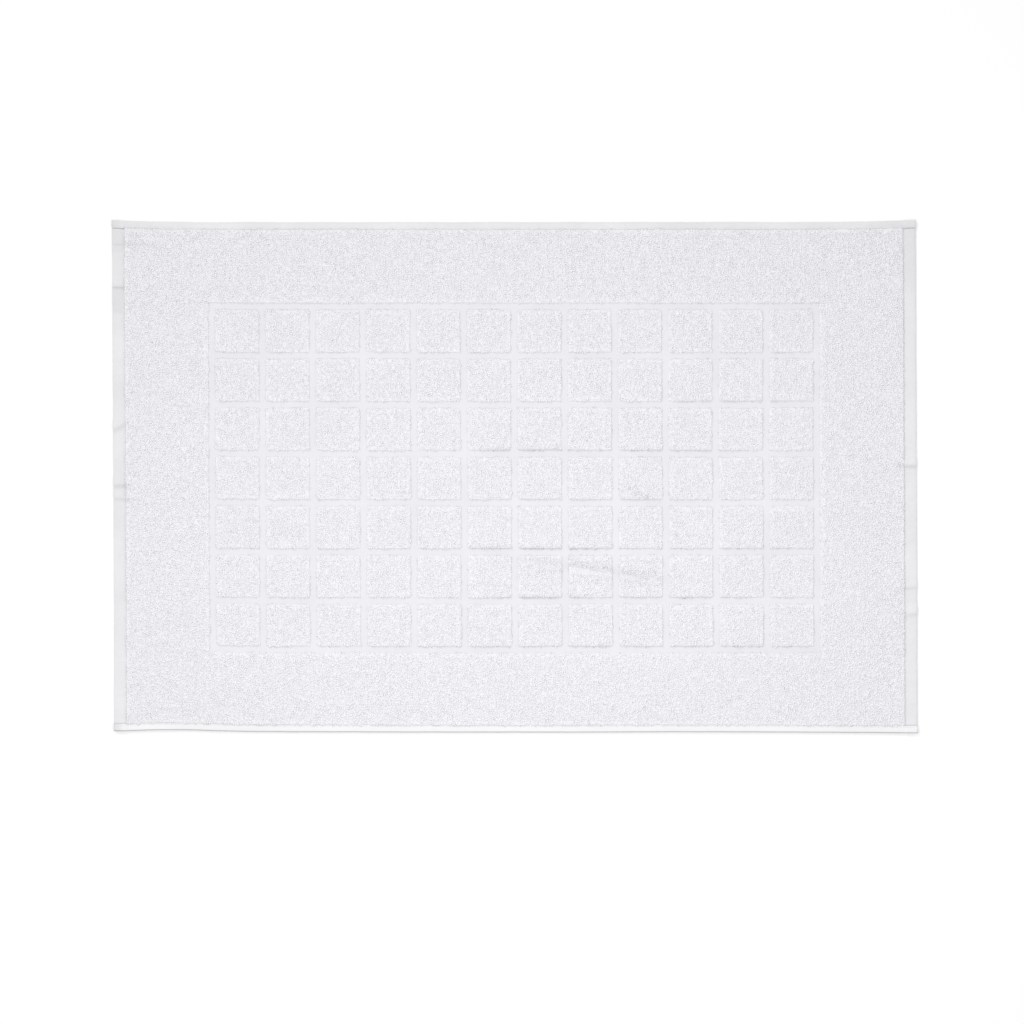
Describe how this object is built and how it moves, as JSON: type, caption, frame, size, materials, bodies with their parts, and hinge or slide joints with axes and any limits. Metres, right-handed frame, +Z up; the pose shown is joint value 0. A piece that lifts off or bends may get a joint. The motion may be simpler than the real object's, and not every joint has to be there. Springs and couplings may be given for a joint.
{
  "type": "bath mat",
  "caption": "Woven cotton terry bath mat lying flat, with a carved grid of looped squares inside a plain looped border and folded, stitched hems.",
  "frame": {"origin": "middle of the flat underside, at the height of the surface that the mat lies on", "axes": "+X along the mat's length towards its right end, +Y across its width towards its back edge, +Z up out of the looped face"},
  "size_m": [0.8, 0.509, 0.006],
  "materials": {
    "terry_pile": "matte",
    "flat_weave": "matte",
    "sewing_thread": "satin",
    "label_tape": "satin"
  },
  "bodies": {
    "root": {"bobbin_thread_back": "sewing_thread", "bobbin_thread_front": "sewing_thread", "bobbin_thread_left": "sewing_thread", "bobbin_thread_right": "sewing_thread", "border_pile_back": "terry_pile", "border_pile_front": "terry_pile", "border_pile_left": "terry_pile", "border_pile_right": "terry_pile", "care_label": "label_tape", "ground_cloth": "flat_weave", "hem_back": "flat_weave", "hem_front": "flat_weave", "hem_left": "flat_weave", "hem_right": "flat_weave", "needle_thread_back": "sewing_thread", "needle_thread_front": "sewing_thread", "needle_thread_left": "sewing_thread", "needle_thread_right": "sewing_thread", "reverse_pile": "terry_pile", "square_pile_row_1": "terry_pile", "square_pile_row_2": "terry_pile", "square_pile_row_3": "terry_pile", "square_pile_row_4": "terry_pile", "square_pile_row_5": "terry_pile", "square_pile_row_6": "terry_pile", "square_pile_row_7": "terry_pile"}
  },
  "joints": []
}
